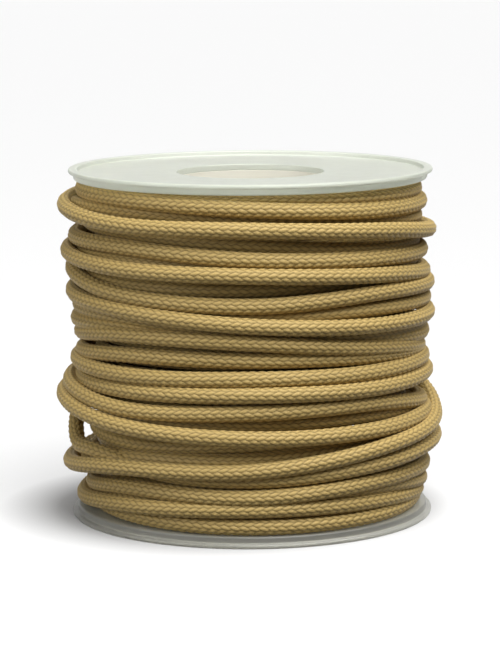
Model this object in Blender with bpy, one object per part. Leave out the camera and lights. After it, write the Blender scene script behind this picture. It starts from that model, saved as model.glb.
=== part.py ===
"""Paracord wound on a clear plastic spool.

Blender script: metres, +Z up, the spool's axis on Z and its lower flange standing on z = 0.
The front of the winding faces -Y. Sizes below are in millimetres.
"""

from math import cos, degrees, pi, radians, sin

import bmesh
import bpy
import numpy as np
from mathutils import Vector

MM = 0.001

# The spool: two flanges on a short tube.
FLANGE_RADIUS = 35.0
SPOOL_HEIGHT = 67.1
RIM_HEIGHT = 2.05
RIM_WIDTH = 1.75
LIP_WIDTH = 1.0
LIP_HEIGHT = 0.8
RIM_ROUNDING = 0.3
WEB_RECESS = 0.85
BORE_RADIUS = 14.1
CORE_WALL = 1.5
FIT_GAP = 0.3

# The cord, and the packed layers that fill the spool under its last two layers.
CORD_RADIUS = 1.5
PACKED_RADIUS = 31.0

# How finely the round shapes are stepped.
SECTIONS_ROUND = 48
ROUNDING_STEPS = 3
ROWS_UP_WINDING = 100

# One row for each turn. Angles go round the spool from the front (0) to the right (90).
# "up" columns are heights of the cord's middle, "out" columns its distances from the axis.
TURN_COLUMNS = (
    "up left", "up left front", "up front", "up right front", "up right", "up back",
    "out left", "out front", "out right", "out back",
)
UP_ANGLES = {"left": -86, "left front": -45, "front": 0, "right front": 45, "right": 86, "back": 180}

OUTER_TURNS = {
    "top turn":         (63.4, 63.4, 63.4, 63.4, 63.2, 63.3, 30.5, 30.6, 31.5, 31.8),
    "under the flange": (63.4, 63.3, 62.4, 61.1, 60.7, 62.2, 32.2, 33.0, 32.5, 33.6),
    "high loop":        (60.4, 59.0, 58.8, 57.5, 55.3, 56.2, 35.7, 34.6, 34.3, 33.6),
    "third":            (54.4, 54.7, 53.3, 52.2, 51.4, 52.8, 33.7, 33.5, 32.7, 34.0),
    "fourth":           (51.6, 50.8, 50.5, 49.2, 47.4, 49.4, 35.2, 34.8, 33.2, 33.2),
    "fifth":            (48.2, 45.8, 44.8, 45.9, 45.1, 46.0, 34.3, 33.4, 34.0, 34.2),
    "sixth":            (43.8, 43.0, 41.3, 39.9, 39.4, 39.5, 34.3, 34.4, 34.1, 33.4),
    "seventh":          (38.3, 39.4, 38.2, 36.8, 35.5, 36.4, 33.4, 30.4, 33.0, 33.9),
    "eighth":           (35.8, 38.2, 38.0, 35.5, 33.0, 33.5, 32.8, 33.2, 32.3, 32.8),
    "ninth":            (32.2, 33.9, 34.1, 33.6, 32.4, 30.8, 32.6, 31.9, 32.3, 33.7),
    "tenth":            (30.6, 30.9, 31.6, 31.2, 30.8, 28.5, 33.6, 33.2, 33.1, 33.0),
    "eleventh":         (27.4, 28.1, 29.1, 28.2, 28.0, 26.3, 32.7, 34.2, 33.8, 34.8),
    "twelfth":          (26.2, 24.5, 25.1, 25.1, 22.2, 22.8, 35.1, 33.5, 32.7, 33.2),
    "low loop":         (23.8, 21.6, 20.5, 20.3, 20.4, 15.0, 36.4, 34.6, 33.7, 33.6),
    "crossing turn":    (10.4, 13.4, 14.3, 17.1, 19.5, 21.8, 35.3, 34.0, 35.6, 33.2),
    "slack turn":       (17.0, 13.6, 11.6, 13.9, 15.1, 10.4, 34.2, 33.0, 35.5, 33.6),
    "third from last":  (6.3, 9.1, 9.2, 10.4, 9.8, 7.1, 30.9, 33.2, 33.3, 33.3),
    "second from last": (3.9, 5.9, 6.7, 6.4, 4.6, 4.0, 32.7, 33.0, 32.1, 32.8),
    "bottom turn":      (3.65, 3.65, 3.65, 3.65, 3.65, 3.65, 30.0, 32.5, 31.5, 31.0),
}

# Where a turn swings further than the columns say: its angle, height and distance out.
OUTER_SWINGS = {
    "crossing turn": ((118, 23.9, 35.0), (140, 24.2, 33.8)),
    "slack turn": (
        (-135, 20.9, 33.2), (-108, 20.4, 34.0), (-80, 15.3, 34.2),
        (-62, 14.8, 33.4), (-50, 14.1, 32.4), (-25, 12.4, 31.7),
    ),
}

# The layer below, where it shows between the outer turns.
INNER_TURNS = {
    "below the top":    (60.6, 61.1, 60.1, 59.1, 57.9, 59.6, 33.4, 31.4, 32.5, 32.4),
    "below high loop":  (57.2, 56.9, 55.6, 53.8, 53.1, 54.9, 31.0, 31.0, 31.2, 31.6),
    "below third":      (51.3, 52.0, 51.1, 50.4, 49.7, 48.2, 32.5, 31.2, 31.0, 31.2),
    "below fourth":     (47.8, 47.3, 47.3, 47.4, 44.6, 43.5, 31.8, 31.5, 31.2, 32.0),
    "below fifth":      (43.0, 42.2, 42.4, 42.8, 42.1, 42.8, 31.2, 31.6, 33.4, 33.5),
    "below sixth":      (41.1, 41.3, 38.8, 37.8, 37.0, 34.6, 33.1, 31.2, 31.0, 31.2),
    "below tenth":      (31.0, 29.8, 29.4, 29.6, 29.1, 24.6, 31.0, 31.0, 31.0, 31.6),
    "below twelfth":    (23.4, 22.8, 22.5, 22.5, 21.4, 18.7, 30.5, 31.6, 31.7, 32.0),
    "deep slack turn":  (17.2, 17.0, 18.1, 18.7, 17.5, 17.1, 29.5, 30.8, 31.0, 31.2),
    "deep crossing":    (14.4, 14.7, 15.8, 17.3, 16.1, 12.6, 29.8, 31.2, 31.0, 31.8),
    "below slack turn": (5.6, 6.6, 7.4, 8.8, 6.6, 5.7, 30.0, 31.0, 32.8, 31.6),
}


def material(name, colour, roughness, transmission=0.0):
    finish = bpy.data.materials.new(name)
    finish.use_nodes = True
    shader = finish.node_tree.nodes["Principled BSDF"]
    shader.inputs["Base Color"].default_value = (*colour, 1.0)
    shader.inputs["Roughness"].default_value = roughness
    shader.inputs["Metallic"].default_value = 0.0
    shader.inputs["Transmission Weight"].default_value = transmission
    return finish


def rounded_corner(before, corner, after, radius):
    """Points of a round of this radius at a square corner of an outline."""
    start = Vector(corner) + (Vector(before) - Vector(corner)).normalized() * radius
    end = Vector(corner) + (Vector(after) - Vector(corner)).normalized() * radius
    centre = start + end - Vector(corner)
    steps = [pi / 2 * step / ROUNDING_STEPS for step in range(ROUNDING_STEPS + 1)]
    return [tuple(centre + (start - centre) * cos(a) + (end - centre) * sin(a)) for a in steps]


def spun(outline):
    """A bmesh of a closed outline of (distance out, height) points, spun about Z."""
    mesh = bmesh.new()
    corners = [mesh.verts.new((out * MM, 0.0, up * MM)) for out, up in outline]
    edges = [mesh.edges.new((a, b)) for a, b in zip(corners, corners[1:] + corners[:1])]
    bmesh.ops.spin(
        mesh, geom=corners + edges, cent=(0, 0, 0), axis=(0, 0, 1),
        angle=2 * pi, steps=SECTIONS_ROUND, use_merge=True,
    )
    return mesh


def add_object(name, mesh, finish):
    bmesh.ops.remove_doubles(mesh, verts=mesh.verts, dist=0.01 * MM)
    bmesh.ops.recalc_face_normals(mesh, faces=mesh.faces)
    data = bpy.data.meshes.new(name)
    mesh.to_mesh(data)
    mesh.free()
    data.shade_smooth()
    data.set_sharp_from_angle(angle=radians(40))
    data.materials.append(finish)
    piece = bpy.data.objects.new(name, data)
    bpy.context.scene.collection.objects.link(piece)
    return piece


def flange_outline(outer_face, inner_face):
    """Half section of a flange: a flat inner face, a rim round a sunk web, and a thin lip."""
    inward = 1 if inner_face > outer_face else -1
    web_face = outer_face + inward * WEB_RECESS
    lip_face = outer_face + inward * LIP_HEIGHT
    bore = (BORE_RADIUS, inner_face)
    body_edge = (FLANGE_RADIUS - LIP_WIDTH, inner_face)
    under_lip = (FLANGE_RADIUS - LIP_WIDTH, lip_face)
    lip_in, lip_out = (FLANGE_RADIUS, lip_face), (FLANGE_RADIUS, outer_face)
    rim_top = (FLANGE_RADIUS - RIM_WIDTH, outer_face)
    return [
        bore,
        *rounded_corner(bore, body_edge, under_lip, RIM_ROUNDING),
        under_lip,
        *rounded_corner(under_lip, lip_in, lip_out, RIM_ROUNDING),
        *rounded_corner(lip_in, lip_out, rim_top, RIM_ROUNDING),
        rim_top,
        (FLANGE_RADIUS - RIM_WIDTH, web_face),
        (BORE_RADIUS, web_face),
    ]


def smooth(at, knots, values):
    """A smooth curve through the values at these knots, read at one place or at many."""
    slopes = np.gradient(values, knots)
    low = np.clip(np.searchsorted(knots, at) - 1, 0, len(knots) - 2)
    span = knots[low + 1] - knots[low]
    t = (at - knots[low]) / span
    return (
        (2 * t**3 - 3 * t**2 + 1) * values[low]
        + (t**3 - 2 * t**2 + t) * span * slopes[low]
        + (3 * t**2 - 2 * t**3) * values[low + 1]
        + (t**3 - t**2) * span * slopes[low + 1]
    )


def route(turns, swings):
    """The cord through all its turns: knots of angle with height, and of angle with distance."""
    heights, distances = [], []
    for number, (name, row) in enumerate(turns.items()):
        extra = swings.get(name, ())
        for column, value in zip(TURN_COLUMNS, row):
            way, place = column.split(" ", 1)
            points = heights if way == "up" else distances
            points.append((UP_ANGLES[place] + 360 * number, value))
        heights += [(angle + 360 * number, up) for angle, up, out in extra]
        distances += [(angle + 360 * number, out) for angle, up, out in extra]
    return [np.array(sorted(points), float).T for points in (heights, distances)]


def winding_reach(angle, heights, routes):
    """How far out the wound cord reaches at these heights, in one direction from the axis."""
    reach = np.full(len(heights), PACKED_RADIUS)
    for ups, outs in routes:
        first, last = ups[0][0], ups[0][-1]
        turns = np.arange(angle - 360, last + 1, 360)
        turns = turns[(turns >= first) & (turns <= last)]
        for up, out in zip(smooth(turns, *ups), smooth(turns, *outs)):
            inside = np.clip(CORD_RADIUS**2 - (heights - up) ** 2, 0, None)
            reach = np.where(inside > 0, np.maximum(reach, out + np.sqrt(inside)), reach)
    return reach


def add_winding(finish):
    """The wound cord: a drum whose wall is pressed out to the turns of the two outer layers."""
    inner = BORE_RADIUS + CORE_WALL + FIT_GAP
    low = RIM_HEIGHT + FIT_GAP
    high = SPOOL_HEIGHT - RIM_HEIGHT - FIT_GAP
    rows = np.linspace(low, high, ROWS_UP_WINDING)
    wall = [(PACKED_RADIUS, up) for up in rows]
    mesh = spun([(inner, low), *wall, (inner, high)])
    routes = [route(OUTER_TURNS, OUTER_SWINGS), route(INNER_TURNS, {})]
    reach_at = {}
    for corner in mesh.verts:
        x, y, z = corner.co / MM
        if Vector((x, y)).length < (inner + PACKED_RADIUS) / 2:
            continue
        angle = round(degrees(np.arctan2(x, -y)), 3)
        if angle not in reach_at:
            reach_at[angle] = winding_reach(angle, rows, routes)
        row = round((z - low) / (high - low) * (ROWS_UP_WINDING - 1))
        corner.co.xy *= reach_at[angle][row] / PACKED_RADIUS
    return add_object("cord_winding", mesh, finish)


for old in list(bpy.data.objects):
    bpy.data.objects.remove(old, do_unlink=True)

clear_plastic = material("clear plastic", (0.80, 0.83, 0.78), 0.30, transmission=0.7)
braided_cord = material("braided cord", (0.55, 0.39, 0.15), 0.85)

top_inner_face = SPOOL_HEIGHT - RIM_HEIGHT
core_low = RIM_HEIGHT + FIT_GAP
core_high = top_inner_face - FIT_GAP
core_radius = BORE_RADIUS + CORE_WALL

add_object("flange_bottom", spun(flange_outline(0.0, RIM_HEIGHT)), clear_plastic)
add_object("flange_top", spun(flange_outline(SPOOL_HEIGHT, top_inner_face)), clear_plastic)
add_object(
    "core_tube",
    spun([(BORE_RADIUS, core_low), (core_radius, core_low), (core_radius, core_high), (BORE_RADIUS, core_high)]),
    clear_plastic,
)
add_winding(braided_cord)
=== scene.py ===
"""Golden tan paracord wound on a clear plastic spool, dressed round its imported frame.

Sizes of the spool and the cord are millimetres until a mesh is made. Those of the floor and the
lamps are metres. The spool's axis is Z, its lower flange stands on z = 0, and the front of the
winding faces -Y.
"""

from math import cos, pi, radians, sin

import bmesh
import bpy
import numpy as np
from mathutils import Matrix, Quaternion, Vector


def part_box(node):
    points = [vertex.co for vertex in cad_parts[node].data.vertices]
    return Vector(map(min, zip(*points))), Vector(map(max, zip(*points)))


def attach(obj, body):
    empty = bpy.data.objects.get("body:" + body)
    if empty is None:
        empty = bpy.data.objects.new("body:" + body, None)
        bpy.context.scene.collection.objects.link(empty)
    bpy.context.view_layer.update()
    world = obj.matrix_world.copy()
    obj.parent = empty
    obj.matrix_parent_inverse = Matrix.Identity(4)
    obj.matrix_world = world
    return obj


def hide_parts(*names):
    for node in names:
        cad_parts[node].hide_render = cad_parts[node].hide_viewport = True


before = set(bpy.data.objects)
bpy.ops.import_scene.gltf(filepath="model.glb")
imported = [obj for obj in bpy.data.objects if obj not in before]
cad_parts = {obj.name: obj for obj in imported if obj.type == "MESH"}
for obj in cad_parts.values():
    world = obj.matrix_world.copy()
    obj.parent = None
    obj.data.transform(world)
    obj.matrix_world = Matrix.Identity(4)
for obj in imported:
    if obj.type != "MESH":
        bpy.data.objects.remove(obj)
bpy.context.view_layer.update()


# The spool's plastic
# Clear, slightly milky moulded polystyrene, faintly green. It is glossy, with soft flow marks
# from the mould and fine rub marks from handling.
class Wire:
    """One output of a shader node. Sums and products of wires add the nodes that work them out."""

    def __init__(self, finish, socket):
        self.finish = finish
        self.socket = socket

    def maths(self, operation, *terms):
        return self.finish.node("ShaderNodeMath", {"operation": operation}, *terms)

    def __add__(self, other):
        return self.maths("ADD", self, other)

    def __sub__(self, other):
        return self.maths("SUBTRACT", self, other)

    def __rsub__(self, other):
        return self.maths("SUBTRACT", other, self)

    def __mul__(self, other):
        return self.maths("MULTIPLY", self, other)

    def __pow__(self, power):
        return self.maths("POWER", self, power)

    def __lt__(self, other):
        return self.maths("LESS_THAN", self, other)

    __radd__ = __add__
    __rmul__ = __mul__


class Finish:
    """A material with one Principled shader, and the nodes that feed it."""

    def __init__(self, name, **constants):
        self.material = bpy.data.materials.new(name)
        self.material.use_nodes = True
        self.tree = self.material.node_tree
        self.shader = self.tree.nodes["Principled BSDF"]
        for socket, value in constants.items():
            self.shader.inputs[socket.replace("_", " ")].default_value = value

    def node(self, kind, settings, *terms, output=0, **named_terms):
        """Adds a node, sets it up, and fills its sockets in order and by name."""
        made = self.tree.nodes.new(kind)
        for setting, value in settings.items():
            setattr(made, setting, value)
        named = [(made.inputs[name.replace("_", " ")], term) for name, term in named_terms.items()]
        for socket, term in [*zip(made.inputs, terms), *named]:
            self.fill(socket, term)
        return Wire(self, made.outputs[output])

    def fill(self, socket, term):
        if isinstance(term, Wire):
            self.tree.links.new(term.socket, socket)
        else:
            socket.default_value = term

    def feed(self, **sockets):
        for socket, term in sockets.items():
            self.fill(self.shader.inputs[socket.replace("_", " ")], term)

    def own_place(self):
        """Where a point lies in its piece's own coordinates, in metres."""
        return self.node("ShaderNodeTexCoord", {}, output=3)

    def noise(self, where, scale, detail=2.0):
        """Soft noise with this many waves to a metre."""
        return self.node("ShaderNodeTexNoise", {}, Vector=where, Scale=scale, Detail=detail)

    def blend(self, share, first, second):
        """A colour between two, by a share from 0 to 1."""
        mixer = self.tree.nodes.new("ShaderNodeMix")
        mixer.data_type = "RGBA"
        for place, term in (("Factor", share), (6, first), (7, second)):
            self.fill(mixer.inputs[place], term)
        return Wire(self, mixer.outputs[2])

    def bump(self, height, distance, strength=1.0):
        return self.node("ShaderNodeBump", {}, Height=height, Distance=distance, Strength=strength)


PLASTIC_IOR = 1.46
FLOW_MARKS = 60.0
RUB_MARKS = 400.0
FLOW_DEPTH = 0.0001


def spool_plastic(name, clearness, pale, deep):
    """Clearness runs from 0, solid, to 1, clear. The flow marks run between the two colours."""
    finish = Finish(name, IOR=PLASTIC_IOR, Transmission_Weight=clearness, Specular_IOR_Level=0.5)
    place = finish.own_place()
    cloud = finish.noise(place, FLOW_MARKS, detail=3.0)
    rubbed = finish.noise(place, RUB_MARKS, detail=2.0)
    finish.feed(
        Base_Color=finish.blend(cloud, deep, pale),
        Roughness=0.24 + 0.10 * cloud + 0.08 * rubbed,
        Normal=finish.bump(cloud, FLOW_DEPTH),
    )
    return finish.material


# The flanges
# Two moulded discs, each with a flat face towards the cord, a low rim round a sunk web and a
# thin lip. They are pressed on the ends of the tube, and the spool stands on the lower rim.
MM = 0.001
SPOOL_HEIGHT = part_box("flange_top")[1][2] / MM
RIM_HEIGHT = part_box("flange_bottom")[1][2] / MM
FLANGE_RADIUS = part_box("flange_top")[1][0] / MM
BORE_RADIUS = 14.1
RIM_WIDTH = 1.75
LIP_WIDTH = 1.0
LIP_HEIGHT = 0.8
WEB_RECESS = 0.85
RIM_ROUNDING = 0.35
RECESS_ROUNDING = 0.22
UNDER_LIP_ROUNDING = 0.2
BORE_ROUNDING = 0.15
WEB_BORE_ROUNDING = 0.2
TURNING_STEPS = 240
ROUNDING_STEPS = 6
SHARP_ANGLE = radians(35)
# The upper flange takes a milkier copy of the plastic, so that it looks brighter under the light
# from above, and the lower flange a clearer copy, so that it looks darker: lit and shaded copies
# of one plastic, painted in by their clearness and colours.
UPPER_CLEARNESS = 0.62
UPPER_PALE, UPPER_DEEP = (0.90, 0.925, 0.85, 1), (0.87, 0.905, 0.80, 1)
LOWER_CLEARNESS = 0.84
LOWER_PALE, LOWER_DEEP = (0.95, 0.94, 0.86, 1), (0.90, 0.89, 0.78, 1)


def rounded(before, corner, after, radius):
    """Points of a round of this radius at a square corner of an outline."""
    start = Vector(corner) + (Vector(before) - Vector(corner)).normalized() * radius
    end = Vector(corner) + (Vector(after) - Vector(corner)).normalized() * radius
    centre = start + end - Vector(corner)
    turns = [pi / 2 * step / ROUNDING_STEPS for step in range(ROUNDING_STEPS + 1)]
    return [tuple(centre + (start - centre) * cos(a) + (end - centre) * sin(a)) for a in turns]


def rounded_outline(corners):
    """An outline whose corners (distance out, height, rounding) are all rounded."""
    points = []
    for number, (out, up, radius) in enumerate(corners):
        before = corners[number - 1][:2]
        after = corners[(number + 1) % len(corners)][:2]
        points += rounded(before, (out, up), after, radius)
    return points


def turned_piece(name, outline, material):
    """A closed outline of (distance out, height) points, turned about the spool's axis."""
    mesh = bmesh.new()
    corners = [mesh.verts.new((out * MM, 0.0, up * MM)) for out, up in outline]
    edges = [mesh.edges.new((a, b)) for a, b in zip(corners, corners[1:] + corners[:1])]
    bmesh.ops.spin(
        mesh, geom=corners + edges, cent=(0, 0, 0), axis=(0, 0, 1),
        angle=2 * pi, steps=TURNING_STEPS, use_merge=True,
    )
    bmesh.ops.remove_doubles(mesh, verts=mesh.verts, dist=0.001 * MM)
    bmesh.ops.recalc_face_normals(mesh, faces=mesh.faces)
    data = bpy.data.meshes.new(name)
    mesh.to_mesh(data)
    mesh.free()
    data.shade_smooth()
    data.set_sharp_from_angle(angle=SHARP_ANGLE)
    data.materials.append(material)
    piece = bpy.data.objects.new(name, data)
    bpy.context.scene.collection.objects.link(piece)
    return piece


def flange(name, outer_face, inner_face, material):
    inward = 1 if inner_face > outer_face else -1
    web_face = outer_face + inward * WEB_RECESS
    lip_face = outer_face + inward * LIP_HEIGHT
    return turned_piece(name, rounded_outline((
        (BORE_RADIUS, inner_face, BORE_ROUNDING),
        (FLANGE_RADIUS - LIP_WIDTH, inner_face, RIM_ROUNDING),
        (FLANGE_RADIUS - LIP_WIDTH, lip_face, UNDER_LIP_ROUNDING),
        (FLANGE_RADIUS, lip_face, RIM_ROUNDING),
        (FLANGE_RADIUS, outer_face, RIM_ROUNDING),
        (FLANGE_RADIUS - RIM_WIDTH, outer_face, RECESS_ROUNDING),
        (FLANGE_RADIUS - RIM_WIDTH, web_face, RECESS_ROUNDING),
        (BORE_RADIUS, web_face, WEB_BORE_ROUNDING),
    )), material)


# Lit and shaded copies of the one plastic: the milkier one painted brighter for the upper flange,
# the clearer one darker for the lower.
plastic_lit_milkier = spool_plastic("plastic milkier as painted top light", UPPER_CLEARNESS, UPPER_PALE, UPPER_DEEP)
plastic_shaded_clearer = spool_plastic("clear plastic", LOWER_CLEARNESS, LOWER_PALE, LOWER_DEEP)
flanges = {
    "flange_bottom": flange("lower_flange", 0.0, RIM_HEIGHT, plastic_shaded_clearer),
    "flange_top": flange("upper_flange", SPOOL_HEIGHT, SPOOL_HEIGHT - RIM_HEIGHT, plastic_lit_milkier),
}
for node, piece in flanges.items():
    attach(piece, "root")
    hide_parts(node)


# The tube
# A short tube of the same plastic, moulded by itself, that the cord is wound on. It butts between
# the flanges. It looks creamy inside: its wall lets a little of the cord's colour through, and a
# cream colour painted into the plastic stands in for more of the cord's colour showing through.
TUBE_CLEARANCE = 0.02
TUBE_ROUNDING = 0.1
TUBE_LOW = RIM_HEIGHT + TUBE_CLEARANCE
TUBE_HIGH = SPOOL_HEIGHT - RIM_HEIGHT - TUBE_CLEARANCE
TUBE_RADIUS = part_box("core_tube")[1][0] / MM
# The cream colours are painted in for the cord's colour seen through the wall.
TUBE_CLEARNESS = 0.30
TUBE_PALE, TUBE_DEEP = (0.97, 0.95, 0.86, 1), (0.94, 0.91, 0.78, 1)

tube = turned_piece("spool_tube", rounded_outline((
    (BORE_RADIUS, TUBE_LOW, TUBE_ROUNDING),
    (TUBE_RADIUS, TUBE_LOW, TUBE_ROUNDING),
    (TUBE_RADIUS, TUBE_HIGH, TUBE_ROUNDING),
    (BORE_RADIUS, TUBE_HIGH, TUBE_ROUNDING),
)), spool_plastic("plastic painted cream", TUBE_CLEARNESS, TUBE_PALE, TUBE_DEEP))
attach(tube, "root")
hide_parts("core_tube")


# The cord's braid
# Twenty strands of golden tan polyester, ten wound each way, two over and two under. The
# strands' floats line up in ten ribs along the cord that lean left and right by turns.
STITCH = 1.7
RIBS = 10
CORD_RADIUS = 1.55
STITCH_DEPTH = 0.26
EDGE_SHARE = 0.35
FILAMENTS = 7
STRANDS_PER_REPEAT = 4
RIGHT_ON_TOP_BELOW = 1.5
GOLD = (0.66, 0.47, 0.165, 1)
# The darkest gold is painted shade for the braid's crevices, not a dye of the cord.
CREVICE_SHADE_GOLD = (0.13, 0.085, 0.022, 1)
SHEEN_GOLD = (1.0, 0.86, 0.58, 1)
DYE_PATCHES = 45.0
FUZZ = 2600.0
STRAND_BUMP = 0.00014


def braid_finish():
    """The strands' crowns, filaments and painted shade at their ends, from the stitches' UV map.

    A right-hand strand lies on top at two crossings, then a left-hand one at the next two.
    """
    finish = Finish(
        "golden tan braid",
        Specular_IOR_Level=0.35, Sheen_Weight=0.25, Sheen_Roughness=0.4, Sheen_Tint=SHEEN_GOLD,
    )
    stitches = finish.node("ShaderNodeUVMap", {"uv_map": "stitches"})
    along_cord = finish.node("ShaderNodeSeparateXYZ", {}, stitches)
    round_cord = Wire(finish, along_cord.socket.node.outputs[1])

    right_hand = along_cord - round_cord
    left_hand = along_cord + round_cord
    right_number = right_hand.maths("FLOOR", right_hand)
    left_number = left_hand.maths("FLOOR", left_hand)
    right_share, left_share = right_hand - right_number, left_hand - left_number
    crossing = right_hand.maths("FLOORED_MODULO", left_number - right_number, STRANDS_PER_REPEAT)
    right_on_top = crossing < RIGHT_ON_TOP_BELOW
    across = left_share + right_on_top * (right_share - left_share)
    along_right = (left_share + crossing) * 0.5
    along_left = (3.0 - crossing + right_share) * 0.5
    along = along_left + right_on_top * (along_right - along_left)

    crown = 1.0 - EDGE_SHARE * (2.0 * across - 1.0) ** 4.0
    arch = 1.0 - (2.0 * along - 1.0) ** 2.0
    plump = crown * arch ** 0.5
    filament = across.maths("SINE", across * (2 * pi * FILAMENTS))

    place = finish.own_place()
    patch = finish.noise(place, DYE_PATCHES)
    fuzz = finish.noise(place, FUZZ)
    # The colour sinks towards the darkest gold where the strands dip at their ends and edges:
    # painted shade in the braid's crevices. Dye patches, fuzz and filaments vary it at random.
    shade = plump * (0.62 + 0.22 * patch + 0.10 * fuzz + 0.06 * filament)
    finish.feed(
        Base_Color=finish.blend(shade, CREVICE_SHADE_GOLD, GOLD),
        Roughness=0.62 - 0.12 * plump,
        Normal=finish.bump(plump + filament * 0.05 + fuzz * 0.1, STRAND_BUMP, 0.8),
    )
    return finish.material


def smooth(at, knots, values):
    """A smooth curve through the values at these knots, read at many places."""
    slopes = np.gradient(values, knots)
    low = np.clip(np.searchsorted(knots, at) - 1, 0, len(knots) - 2)
    span = knots[low + 1] - knots[low]
    t = (at - knots[low]) / span
    return (
        (2 * t**3 - 3 * t**2 + 1) * values[low]
        + (t**3 - 2 * t**2 + t) * span * slopes[low]
        + (3 * t**2 - 2 * t**3) * values[low + 1]
        + (t**3 - t**2) * span * slopes[low + 1]
    )


def stitch_relief(right_hand, left_hand):
    """How high the top strand stands, from 0 at its ends to 1, as the shader works it out too."""
    right_share, left_share = right_hand % 1, left_hand % 1
    crossing = (np.floor(left_hand) - np.floor(right_hand)) % STRANDS_PER_REPEAT
    right_on_top = crossing < RIGHT_ON_TOP_BELOW
    across = np.where(right_on_top, right_share, left_share)
    along = np.where(right_on_top, left_share + crossing, 3 - crossing + right_share) / 2
    crown = 1 - EDGE_SHARE * (2 * across - 1) ** 4
    return crown * np.sqrt(np.clip(1 - (2 * along - 1) ** 2, 0, 1))


CORNER_REACH = 0.01
ROUTE_STEP = 1.5
TWISTS = ((0.5, 0.55), (0.35, 1.45))
STRIP_MARGIN = 0.03


def braided_piece(name, angles, heights, distances, strand_steps, material):
    """A length of cord along a route round the spool, with every stitch in its surface.

    Heights and distances from the axis are knots of angle with value. strand_steps is how many
    rows of faces cross one strand: the rows follow the strands both ways.
    """
    dense = np.linspace(angles[0], angles[-1], int((angles[-1] - angles[0]) / ROUTE_STEP) + 2)
    turn = np.radians(dense)
    out, up = smooth(dense, *distances), smooth(dense, *heights)
    path = np.stack([out * np.sin(turn), -out * np.cos(turn), up], 1)
    travelled = np.concatenate([[0], np.cumsum(np.linalg.norm(np.diff(path, axis=0), axis=1))])

    # Rings of corners along the cord, each square to it.
    rings = round(travelled[-1] / STITCH) * strand_steps
    columns = RIBS * strand_steps
    ring, column = np.arange(rings + 1), np.arange(columns)
    at = travelled[-1] * ring / rings
    centre = np.stack([np.interp(at, travelled, axis) for axis in path.T], 1)
    forward = np.gradient(centre, axis=0)
    forward /= np.linalg.norm(forward, axis=1, keepdims=True)
    outward = centre * (1, 1, 0)
    outward -= forward * (outward * forward).sum(1, keepdims=True)
    outward /= np.linalg.norm(outward, axis=1, keepdims=True)
    sideways = np.cross(forward, outward)

    # The corners of each ring, on a cord that handling has twisted to and fro.
    turned = np.interp(at, travelled, turn)
    twist = sum(amount * np.sin(rate * turned) for amount, rate in TWISTS)
    turn_round = column[None, :] * 2 * pi / columns + twist[:, None]
    right_hand = (ring[:, None] - column[None, :]) / strand_steps
    left_hand = (ring[:, None] + column[None, :]) / strand_steps
    # A corner takes the lowest relief just beside it, so that corners on a strand's edge sink.
    beside = (-CORNER_REACH, CORNER_REACH)
    relief = np.minimum.reduce([
        stitch_relief(right_hand + a, left_hand + b) for a in beside for b in beside
    ])
    radius = CORD_RADIUS - STITCH_DEPTH * (1 - relief)
    points = (
        centre[:, None]
        + (radius * np.cos(turn_round))[..., None] * outward[:, None]
        + (radius * np.sin(turn_round))[..., None] * sideways[:, None]
    )

    # Two triangles between each four corners, cut along the edge or the middle of a strand.
    n, m = (grid.ravel() for grid in np.meshgrid(ring[:-1], column, indexing="ij"))
    corner = {
        (dn, dm): ((n + dn) * columns + (m + dm) % columns, (n + dn), (m + dm))
        for dn in (0, 1) for dm in (0, 1)
    }
    edge_right = (n - m) % strand_steps == 0
    edge_left = (n + m + 1) % strand_steps == 0
    crossing = (n + m + 1) // strand_steps - (n - m) // strand_steps
    rightward = edge_right | (~edge_left & (crossing % STRANDS_PER_REPEAT < RIGHT_ON_TOP_BELOW))
    split_right = ((0, 0), (0, 1), (1, 1)), ((0, 0), (1, 1), (1, 0))
    split_left = ((0, 0), (0, 1), (1, 0)), ((0, 1), (1, 1), (1, 0))
    faces, braid_at = [], []
    for triangle_right, triangle_left in zip(split_right, split_left):
        picked = [
            [np.where(rightward, corner[a][k], corner[b][k]) for k in range(3)]
            for a, b in zip(triangle_right, triangle_left)
        ]
        faces.append(np.stack([p[0] for p in picked], 1))
        braid_at.append(np.stack([np.stack([p[1], p[2]], 1) for p in picked], 1))
    faces, braid_at = np.concatenate(faces), np.concatenate(braid_at).astype(float)
    owner = np.concatenate([n, n])
    cut_ends = np.concatenate([column[::-1], rings * columns + column])
    loops = np.concatenate([faces.ravel(), cut_ends])
    starts = np.concatenate([np.arange(0, faces.size, 3), faces.size + np.array([0, columns])])
    end_spots = np.zeros(2 * len(cut_ends))

    data = bpy.data.meshes.new(name)
    data.vertices.add(points.size // 3)
    data.vertices.foreach_set("co", (points * MM).astype(np.float32).ravel())
    data.loops.add(len(loops))
    data.loops.foreach_set("vertex_index", loops.astype(np.int32))
    data.polygons.add(len(starts))
    data.polygons.foreach_set("loop_start", starts.astype(np.int32))

    # One UV map counts the stitches. The other lays the whole cord in strips side by side.
    stitches = data.uv_layers.new(name="stitches")
    stitch_spots = np.concatenate([(braid_at / strand_steps).ravel(), end_spots])
    stitches.uv.foreach_set("vector", stitch_spots.astype(np.float32))
    strips = max(1, round((rings / columns) ** 0.5))
    strip_rings = -(-rings // strips)
    strip = (owner // strip_rings)[:, None]
    laid = np.stack([
        (braid_at[..., 0] - strip * strip_rings) / strip_rings,
        (strip + STRIP_MARGIN + (1 - 2 * STRIP_MARGIN) * braid_at[..., 1] / columns) / strips,
    ], -1)
    flat = data.uv_layers.new(name="OFBake")
    flat.uv.foreach_set("vector", np.concatenate([laid.ravel(), end_spots]).astype(np.float32))

    data.update(calc_edges=True)
    data.shade_smooth()
    data.materials.append(material)
    piece = bpy.data.objects.new(name, data)
    bpy.context.scene.collection.objects.link(piece)
    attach(piece, "root")
    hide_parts("cord_winding")


braid = braid_finish()


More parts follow.
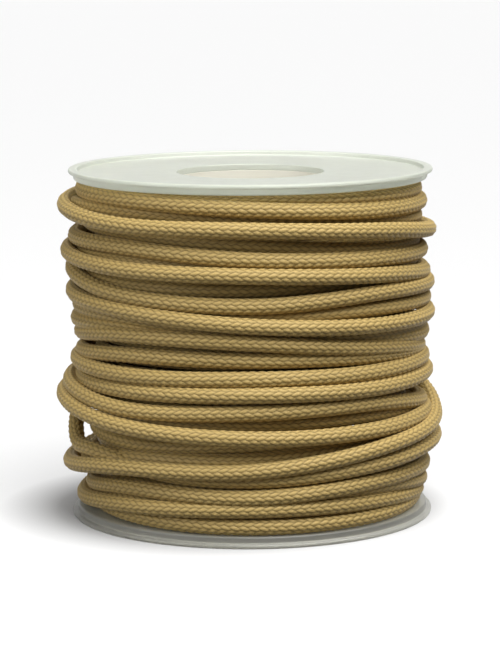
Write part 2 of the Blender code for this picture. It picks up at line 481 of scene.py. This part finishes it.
# The outer turns
# The last layer of the cord, wound by hand and uneven: some turns stand proud, two swing clear
# of the spool at the sides, one crosses others and one hangs slack at the lower left.
OUTER_STRAND_STEPS = 3
OUTER_LENGTHS = 4

# Angles go round the spool from the front (0) to the right (90). The "up" columns are heights of
# the cord's middle, and the "out" columns are its distances from the axis.
TURN_COLUMNS = (
    "up left", "up left front", "up front", "up right front", "up right", "up back",
    "out left", "out front", "out right", "out back",
)
UP_ANGLES = {
    "left": -86, "left front": -45, "front": 0, "right front": 45, "right": 86, "back": 180,
}

OUTER_TURNS = {
    "top turn":         (63.4, 63.4, 63.4, 63.4, 63.2, 63.3, 30.5, 30.6, 31.5, 31.8),
    "under the flange": (63.4, 63.3, 62.4, 61.1, 60.7, 62.2, 32.2, 33.0, 32.5, 33.6),
    "high loop":        (60.4, 59.0, 58.8, 57.5, 55.3, 56.2, 35.7, 34.6, 34.3, 33.6),
    "third":            (54.4, 54.7, 53.3, 52.2, 51.4, 52.8, 33.7, 33.5, 32.7, 34.0),
    "fourth":           (51.6, 50.8, 50.5, 49.2, 47.4, 49.4, 35.2, 34.8, 33.2, 33.2),
    "fifth":            (48.2, 45.8, 44.8, 45.9, 45.1, 46.0, 34.3, 33.4, 34.0, 34.2),
    "sixth":            (43.8, 43.0, 41.3, 39.9, 39.4, 39.5, 34.3, 34.4, 34.1, 33.4),
    "seventh":          (38.3, 39.4, 38.2, 36.8, 35.5, 36.4, 33.4, 30.4, 33.0, 33.9),
    "eighth":           (35.8, 38.2, 38.0, 35.5, 33.0, 33.5, 32.8, 33.2, 32.3, 32.8),
    "ninth":            (32.2, 34.3, 34.6, 33.9, 32.4, 30.8, 32.6, 31.9, 32.3, 33.7),
    "tenth":            (30.6, 30.7, 31.3, 31.0, 30.8, 28.5, 33.6, 33.2, 33.1, 33.0),
    "eleventh":         (27.4, 27.8, 28.5, 28.2, 28.0, 26.3, 32.7, 34.2, 33.8, 34.8),
    "twelfth":          (26.2, 24.5, 25.1, 25.1, 22.2, 22.8, 35.1, 33.5, 32.7, 33.2),
    "low loop":         (23.8, 21.6, 20.5, 20.3, 20.4, 15.0, 36.4, 34.6, 33.7, 33.6),
    "crossing turn":    (10.4, 13.4, 14.3, 17.1, 19.5, 21.8, 35.3, 34.0, 35.6, 33.2),
    "slack turn":       (17.0, 13.6, 12.3, 13.9, 15.1, 10.4, 34.2, 32.3, 35.5, 33.6),
    "third from last":  (6.3, 9.1, 9.2, 10.4, 9.8, 7.1, 30.9, 33.2, 33.3, 33.3),
    "second from last": (3.9, 5.9, 6.9, 6.4, 4.6, 4.0, 32.7, 33.0, 32.1, 32.8),
    "bottom turn":      (3.65, 3.65, 3.65, 3.65, 3.65, 3.65, 30.0, 32.5, 31.5, 31.0),
}

# Where a turn swings further than the columns say: its angle, height and distance out.
OUTER_SWINGS = {
    "crossing turn": ((118, 23.9, 35.0), (140, 24.2, 33.8)),
    "slack turn": (
        (-135, 20.9, 33.2), (-108, 20.4, 34.0), (-80, 15.3, 34.2),
        (-62, 14.8, 33.4), (-50, 14.1, 32.4), (-25, 12.4, 31.7),
    ),
}


def route(turns, swings):
    """The cord through all its turns: knots of angle with height, and of angle with distance."""
    heights, distances = [], []
    for number, (name, row) in enumerate(turns.items()):
        extra = swings.get(name, ())
        for column, value in zip(TURN_COLUMNS, row):
            way, place = column.split(" ", 1)
            points = heights if way == "up" else distances
            points.append((UP_ANGLES[place] + 360 * number, value))
        heights += [(angle + 360 * number, up) for angle, up, out in extra]
        distances += [(angle + 360 * number, out) for angle, up, out in extra]
    return [np.array(sorted(points), float).T for points in (heights, distances)]


def wound_lengths(name, turns, swings, strand_steps, lengths):
    """The turns as a few lengths of cord, each joined to the next at the back of the spool."""
    heights, distances = route(turns, swings)
    joints = np.linspace(0, len(turns), lengths + 1).round() * 360 - UP_ANGLES["back"]
    joints[0] = UP_ANGLES["left"]
    for number, ends in enumerate(zip(joints, joints[1:]), 1):
        braided_piece(f"{name}_{number}", ends, heights, distances, strand_steps, braid)


wound_lengths("outer_turns", OUTER_TURNS, OUTER_SWINGS, OUTER_STRAND_STEPS, OUTER_LENGTHS)


# The inner turns
# The layer of cord below the last one, wound under it by the same hand. It is made where it shows
# in the dark gaps between the outer turns.
INNER_STRAND_STEPS = 2
INNER_LENGTHS = 2
INNER_TURNS = {
    "below the top":    (60.6, 61.1, 60.1, 59.1, 57.9, 59.6, 33.4, 30.0, 31.6, 32.4),
    "below high loop":  (57.2, 56.9, 55.6, 53.8, 53.1, 54.9, 31.0, 31.0, 31.2, 31.6),
    "below third":      (51.3, 52.0, 51.1, 50.4, 49.7, 48.2, 32.5, 31.2, 31.0, 31.2),
    "below fourth":     (47.8, 47.3, 47.3, 47.4, 44.6, 43.5, 31.8, 30.0, 31.2, 32.0),
    "below fifth":      (43.0, 42.2, 42.4, 42.8, 42.1, 42.8, 31.2, 31.6, 33.4, 33.5),
    "below sixth":      (41.1, 41.3, 38.8, 37.8, 37.0, 34.6, 33.1, 31.2, 32.3, 31.2),
    "below tenth":      (31.0, 29.8, 29.9, 29.6, 29.1, 24.6, 31.0, 30.0, 31.0, 31.6),
    "below twelfth":    (23.4, 22.8, 22.5, 22.5, 21.4, 18.7, 30.5, 30.6, 31.7, 32.0),
    "deep slack turn":  (17.2, 17.0, 18.1, 18.7, 17.5, 17.1, 30.1, 29.7, 31.0, 31.2),
    "deep crossing":    (11.4, 14.7, 15.8, 17.3, 16.1, 12.6, 31.9, 31.2, 31.0, 31.8),
    "below slack turn": (5.6, 6.6, 7.4, 8.8, 6.6, 5.7, 30.0, 31.0, 32.8, 31.6),
}

wound_lengths("inner_turns", INNER_TURNS, {}, INNER_STRAND_STEPS, INNER_LENGTHS)


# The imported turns
# The layers of the same cord that fill the spool. They show only deep in the gaps, through the
# two flanges, and through the tube's wall, so only those of them are made.
PACKED_PITCH = 3.0
PACKED_LAYERS = (28.9, 17.2)
END_DISTANCES = (20.2, 23.2, 26.2)
END_CLEARANCE = 1.6
LOWEST = RIM_HEIGHT + END_CLEARANCE
HIGHEST = SPOOL_HEIGHT - RIM_HEIGHT - END_CLEARANCE
PACKED_ANGLE = (HIGHEST - LOWEST) / PACKED_PITCH * 360
RING_ANGLE = 362.0


def even_coil(name, distance, low, high, angle):
    """Cord wound evenly from one height to another, with a coarser mesh than the turns in view."""
    ends = np.array([0.0, angle])
    heights, distances = (ends, np.array([low, high])), (ends, np.array([distance, distance]))
    braided_piece(name, ends, heights, distances, 1, braid)


for number, distance in enumerate(PACKED_LAYERS, 1):
    even_coil(f"packed_layer_{number}", distance, LOWEST, HIGHEST, PACKED_ANGLE)
for number, distance in enumerate(END_DISTANCES, 1):
    even_coil(f"low_end_ring_{number}", distance, LOWEST, LOWEST, RING_ANGLE)
    even_coil(f"high_end_ring_{number}", distance, HIGHEST, HIGHEST, RING_ANGLE)


# The floor and backdrop
# One pale seamless sheet of paper that curves up far behind the spool. It glows to stay evenly
# bright, and its glow is turned down under the spool and a little to its left, a painted shadow.
SWEEP_WIDTH = 6.0
SWEEP_FRONT, SWEEP_BACK = -1.2, 6.0
SWEEP_BEND = 0.5
SWEEP_TOP = 3.0
BEND_STEPS = 24
SWEEP_GLOW = 0.43
PAINTED_SHADOW_GLOW = 0.04
PAPER_DULL, PAPER_BRIGHT = (0.47, 0.47, 0.47, 1), (0.49, 0.49, 0.49, 1)
PAPER_GRAIN = 900.0
PAINTED_SHADOW_MIDDLE = (-0.005, 0.002, 0.0)
PAINTED_SHADOW_EDGES = (0.033, 0.045)


def sweep():
    """The sheet's side view, drawn out to its width."""
    outline = [(SWEEP_FRONT, 0.0)]
    for step in range(BEND_STEPS + 1):
        angle = pi / 2 * step / BEND_STEPS
        back = SWEEP_BACK - SWEEP_BEND + SWEEP_BEND * sin(angle)
        outline.append((back, SWEEP_BEND * (1 - cos(angle))))
    outline.append((SWEEP_BACK, SWEEP_TOP))
    mesh = bmesh.new()
    rows = [
        [mesh.verts.new((side * SWEEP_WIDTH / 2, y, z)) for side in (-1, 1)] for y, z in outline
    ]
    for (a, b), (c, d) in zip(rows, rows[1:]):
        mesh.faces.new((a, b, d, c))
    data = bpy.data.meshes.new("sweep")
    mesh.to_mesh(data)
    mesh.free()
    data.shade_smooth()
    finish = Finish(
        "pale paper sweep", Roughness=0.9, Specular_IOR_Level=0.2, Emission_Strength=SWEEP_GLOW,
    )
    place = finish.own_place()
    # The glow fades out near the spool, round a point just left of its axis: a painted shadow.
    away = finish.node(
        "ShaderNodeVectorMath", {"operation": "DISTANCE"}, place, PAINTED_SHADOW_MIDDLE, output=1,
    )
    glow = finish.node("ShaderNodeMapRange", {}, away, *PAINTED_SHADOW_EDGES, PAINTED_SHADOW_GLOW, 1.0)
    grain = finish.noise(place, PAPER_GRAIN, detail=3.0)
    finish.feed(
        Emission_Color=finish.blend(glow, (0, 0, 0, 1), (1, 1, 1, 1)),
        Base_Color=finish.blend(grain, PAPER_DULL, PAPER_BRIGHT),
    )
    data.materials.append(finish.material)
    sheet = bpy.data.objects.new("sweep", data)
    sheet.visible_diffuse = False
    bpy.context.scene.collection.objects.link(sheet)


sweep()


# The light
# Soft studio light: a wide far light from above, a weak one from behind, a near lamp over the
# front, a weak lamp at the left, and a little light from all round.
HIGH_LIGHT = 3.1
HIGH_AIM = Vector((-0.35, 0.30, -1.0))
BACK_LIGHT = 0.6
BACK_AIM = Vector((-0.10, -0.80, -0.50))
FAR_SPREAD = radians(70)
KEY_PLACE = Vector((0.05, -0.14, 0.25))
KEY_SIZE = 0.16
KEY_WATTS = 0.4
SIDE_PLACE = Vector((-0.45, -0.30, 0.22))
SIDE_SIZE = 0.3
SIDE_WATTS = 1.15
ROUND_LIGHT = 0.10
LAMP_AIM = Vector((0, 0, 0.033))


def area_lamp(name, place, size, watts):
    """A square lamp near the spool, aimed at its middle."""
    lamp = bpy.data.lights.new(name, "AREA")
    lamp.shape = "SQUARE"
    lamp.size = size
    lamp.energy = watts
    stand = bpy.data.objects.new(name, lamp)
    stand.location = place
    stand.rotation_euler = (LAMP_AIM - place).to_track_quat("-Z", "Y").to_euler()
    bpy.context.scene.collection.objects.link(stand)


def far_light(name, aim, strength):
    """Light from one wide part of the sky, the same all over the scene."""
    lamp = bpy.data.lights.new(name, "SUN")
    lamp.energy = strength
    lamp.angle = FAR_SPREAD
    stand = bpy.data.objects.new(name, lamp)
    stand.rotation_euler = aim.to_track_quat("-Z", "Y").to_euler()
    bpy.context.scene.collection.objects.link(stand)
    return stand


far_light("high_light", HIGH_AIM, HIGH_LIGHT)
far_light("back_light", BACK_AIM, BACK_LIGHT).visible_glossy = False
area_lamp("key_lamp", KEY_PLACE, KEY_SIZE, KEY_WATTS)
area_lamp("side_lamp", SIDE_PLACE, SIDE_SIZE, SIDE_WATTS)
world = bpy.data.worlds.new("studio")
world.use_nodes = True
world.node_tree.nodes["Background"].inputs["Color"].default_value = (1, 1, 1, 1)
world.node_tree.nodes["Background"].inputs["Strength"].default_value = ROUND_LIGHT
bpy.context.scene.world = world
bpy.context.scene.view_settings.view_transform = "Standard"


# The camera
# It stands where the photo was taken from, half a metre in front of the spool and nine degrees
# above its middle, and is tilted a little.
CAMERA_DISTANCE = 525.4
CAMERA_RISE = radians(9.17)
SPOOL_MIDDLE = Vector((0, 0, SPOOL_HEIGHT / 2))
CAMERA_AIM = Vector((-0.23, 0, 34.67))
CAMERA_TILT = radians(-0.34)
LENS = 146.2
NEAREST_SEEN = 0.01

camera = bpy.data.objects.new("camera", bpy.data.cameras.new("camera"))
camera.data.lens = LENS
towards_camera = Vector((0, -cos(CAMERA_RISE), sin(CAMERA_RISE)))
camera.location = (SPOOL_MIDDLE + CAMERA_DISTANCE * towards_camera) * MM
look = (CAMERA_AIM * MM - camera.location).to_track_quat("-Z", "Y")
camera.rotation_euler = (look @ Quaternion((0, 0, 1), CAMERA_TILT)).to_euler()
camera.data.clip_start = NEAREST_SEEN
bpy.context.scene.collection.objects.link(camera)
bpy.context.scene.camera = camera
